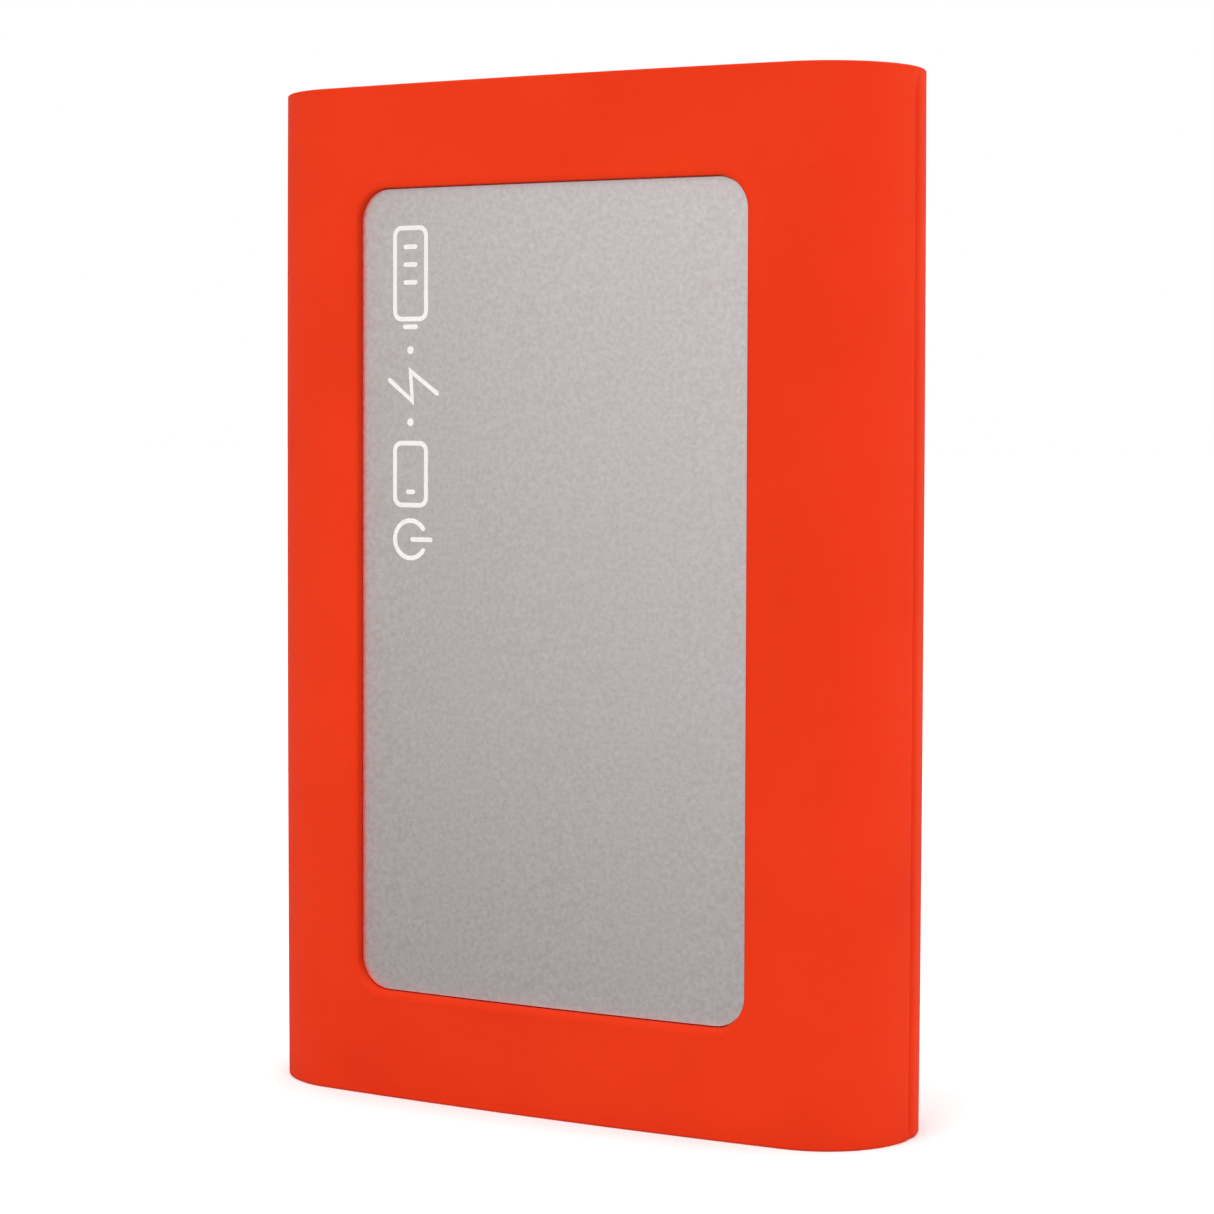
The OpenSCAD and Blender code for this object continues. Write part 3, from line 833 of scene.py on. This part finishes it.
def stroke(b, path, closed=False, width=STROKE):
    """A raised line of even width along a path in mm: u down the panel, v away from its left edge."""
    points = [Vector((u, v)) * MM for u, v in path]
    half = [width / 2] * len(points)
    if not closed:
        for end, other in ((0, 1), (-1, -2)):
            way = (points[end] - points[other]).normalized()
            cap = [(points[end] + way * math.sin(q) * width / 2, math.cos(q) * width / 2)
                   for q in (math.radians(a) for a in (30, 60, 85))]
            if end == 0:
                points = [p for p, _ in reversed(cap)] + points
                half = [h for _, h in reversed(cap)] + half
            else:
                points += [p for p, _ in cap]
                half += [h for _, h in cap]
    count = len(points)
    rows = []
    for i, p in enumerate(points):
        before = points[i - 1] if i or closed else p
        after = points[(i + 1) % count] if i < count - 1 or closed else p
        a = (p - before).normalized() if (p - before).length else (after - p).normalized()
        c = (after - p).normalized() if (after - p).length else a
        way = (a + c).normalized() if (a + c).length > 1e-6 else a
        across = Vector((-way.y, way.x))
        reach = half[i] / max(abs(way.dot(a)), 0.5)
        row = []
        for offset, rise in ((-1, -1), (-1, 1), (1, 1), (1, -1)):
            u, v = p + across * offset * reach
            x, z = PRINT_X + v, PRINT_TOP - u
            y = CROWN_R - HALF_T - math.sqrt((CROWN_R - RECESS) ** 2 - x ** 2)
            row.append(Vector((x, y - rise * PRINT_RISE, z)))
        rows.append(b.loop(row))
    for i in range(count if closed else count - 1):
        b.bridge(rows[i], rows[(i + 1) % count])
    if not closed:
        b.cap(rows[0])
        b.cap(rows[-1])


def printed_signs():
    """Battery, bolt, phone and power ring: plain signs for what the object does."""
    b = Builder()
    stroke(b, rounded_box(0, 0, 8.2, 3.4, 0.7), closed=True)
    stroke(b, [(8.9, 1.1), (8.9, 2.3)])
    for u in (1.7, 3.3, 4.9):
        stroke(b, [(u, 1.15), (u, 2.25)])
    stroke(b, [(11.0, 1.7), (11.02, 1.7)], width=DOT)
    stroke(b, [(14.9, 4.6), (12.9, 1.7), (15.6, 1.9), (13.7, -0.6)])
    stroke(b, [(17.5, 1.7), (17.52, 1.7)], width=DOT)
    stroke(b, rounded_box(19.4, 0, 25.0, 3.4, 0.7), closed=True)
    stroke(b, [(23.8, 1.4), (23.8, 2.0)])
    stroke(b, arc(28.1, 1.7, 1.7, 125, 415, 28))
    stroke(b, [(28.1, 1.9), (28.1, 3.9)])
    obj = make_object("printed_signs", b.verts, b.faces)
    shade(obj, 30)
    dress(obj, "print_white")
    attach(obj, "case")
    return obj


# ---------------------------------------------------------------- assembly
body = sleeve()
dress(body, "sleeve_silicone")
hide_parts("silicone_sleeve")
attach(body, "case")
cover("front_cover", -1)
cover("rear_cover", 1)
snap_dome()
foam_pad("foam_pad_front")
foam_pad("foam_pad_rear")
printed_signs()
for node_name, node_object in frame["nodes"].items():
    if not node_object.hide_render:
        dress(node_object, slot_of(node_name))
        if node_name in SOFTENED:
            soften(node_name, SOFTENED[node_name])


# ---------------------------------------------------------------- floor, light and camera
def floor():
    bm = bmesh.new()
    bmesh.ops.create_grid(bm, x_segments=8, y_segments=8, size=4.0)
    mesh = bpy.data.meshes.new("floor")
    bm.to_mesh(mesh)
    bm.free()
    obj = bpy.data.objects.new("floor", mesh)
    obj.location.z = low.z - 0.02 * MM
    scene.collection.objects.link(obj)
    material, tree, bsdf = nodes_of("floor_paper")
    grain = noise(tree, coordinates(tree), 600, 3)
    tree.links.new(mix(tree, grain, (0.93, 0.93, 0.93), (0.96, 0.96, 0.96)), bsdf.inputs["Base Color"])
    bsdf.inputs["Roughness"].default_value = 0.9
    bsdf.inputs["Specular IOR Level"].default_value = 0.1
    mesh.materials.append(material)
    obj.visible_glossy = False
    return obj


def softbox(name, azimuth, elevation, distance, size, power):
    """A rectangular light that faces the middle of the object; distance and size in mm."""
    light = bpy.data.lights.new(name, "AREA")
    light.shape = "RECTANGLE"
    light.size, light.size_y = size[0] * MM, size[1] * MM
    light.energy = power
    obj = bpy.data.objects.new(name, light)
    a, e = math.radians(azimuth), math.radians(elevation)
    way = Vector((math.sin(a) * math.cos(e), -math.cos(a) * math.cos(e), math.sin(e)))
    obj.location = Vector((0, 0, MID_Z)) + way * distance * MM
    obj.rotation_mode = "QUATERNION"
    obj.rotation_quaternion = way.to_track_quat("Z", "Y")
    scene.collection.objects.link(obj)
    return obj


def sun(name, azimuth, elevation, strength, spread_angle=70):
    light = bpy.data.lights.new(name, "SUN")
    light.energy = strength
    light.angle = math.radians(spread_angle)
    obj = bpy.data.objects.new(name, light)
    a, e = math.radians(azimuth), math.radians(elevation)
    way = Vector((math.sin(a) * math.cos(e), -math.cos(a) * math.cos(e), math.sin(e)))
    obj.rotation_mode = "QUATERNION"
    obj.rotation_quaternion = way.to_track_quat("Z", "Y")
    scene.collection.objects.link(obj)
    return obj


def sky():
    """White behind the object, greyer in front, below and to the left, as the panel's shading shows."""
    world = bpy.data.worlds.new("studio")
    scene.world = world
    world.use_nodes = True
    tree = world.node_tree
    background = tree.nodes["Background"]
    texture = tree.nodes.new("ShaderNodeTexCoord")
    split = tree.nodes.new("ShaderNodeSeparateXYZ")
    tree.links.new(texture.outputs["Generated"], split.inputs["Vector"])
    across = spread(tree, split.outputs["Y"], -0.3, 0.6, SKY_FRONT, SKY_BACK)
    down = spread(tree, split.outputs["Z"], -0.28, -0.12, SKY_LOW, 1.0)
    left = spread(tree, split.outputs["X"], -0.72, -0.44, SKY_LEFT, 1.0)
    product = across
    for factor in (down, left):
        node = tree.nodes.new("ShaderNodeMath")
        node.operation = "MULTIPLY"
        tree.links.new(product, node.inputs[0])
        tree.links.new(factor, node.inputs[1])
        product = node.outputs["Value"]
    seen = tree.nodes.new("ShaderNodeMix")
    tree.links.new(tree.nodes.new("ShaderNodeLightPath").outputs["Is Camera Ray"], seen.inputs[0])
    tree.links.new(product, seen.inputs[2])
    seen.inputs[3].default_value = SKY_SEEN
    tree.links.new(seen.outputs[0], background.inputs["Strength"])
    background.inputs["Color"].default_value = (1, 1, 1, 1)


SKY_FRONT = 0.66
SKY_BACK = 1.05
SKY_LOW = 0.22
SKY_LEFT = 0.65
SKY_SEEN = 1.0
floor()
sky()
sun("key", -20, 60, 0.48)
sun("overhead", 0, 85, 1.05, 30)
softbox("front", -12, 46, 1000, (600, 450), 1.7)
softbox("fill", 112, 6, 420, (200, 300), 0.34)
softbox("right", 45, 30, 900, (500, 400), 0.7)

CAMERA = {
    "azimuth": 29.611, "elevation": 3.485, "distance": 274.03 * MM,
    "turn": -0.271, "pitch": 2.475, "roll": 0.174,
    "lens": 89.636, "shift_x": 0.0, "shift_y": -0.0538,
}


def camera():
    data = bpy.data.cameras.new("camera")
    obj = bpy.data.objects.new("camera", data)
    scene.collection.objects.link(obj)
    scene.camera = obj
    data.sensor_width = 36
    data.lens = CAMERA["lens"]
    data.shift_x, data.shift_y = CAMERA["shift_x"], CAMERA["shift_y"]
    data.dof.use_dof = False
    data.clip_start, data.clip_end = 0.01, 50
    a, e = math.radians(CAMERA["azimuth"]), math.radians(CAMERA["elevation"])
    back = Vector((math.sin(a) * math.cos(e), -math.cos(a) * math.cos(e), math.sin(e)))
    a, e = math.radians(CAMERA["azimuth"] + CAMERA["turn"]), math.radians(CAMERA["pitch"])
    forward = Vector((-math.sin(a) * math.cos(e), math.cos(a) * math.cos(e), -math.sin(e)))
    level = forward.cross(Vector((0, 0, 1))).normalized()
    upright = level.cross(forward)
    roll = math.radians(CAMERA["roll"])
    right = level * math.cos(roll) + upright * math.sin(roll)
    up = upright * math.cos(roll) - level * math.sin(roll)
    obj.rotation_mode = "QUATERNION"
    obj.rotation_quaternion = Matrix((right, up, -forward)).transposed().to_quaternion()
    obj.location = Vector((0, 0, MID_Z)) + back * CAMERA["distance"]
    return obj


camera()
scene.view_settings.view_transform = "Standard"
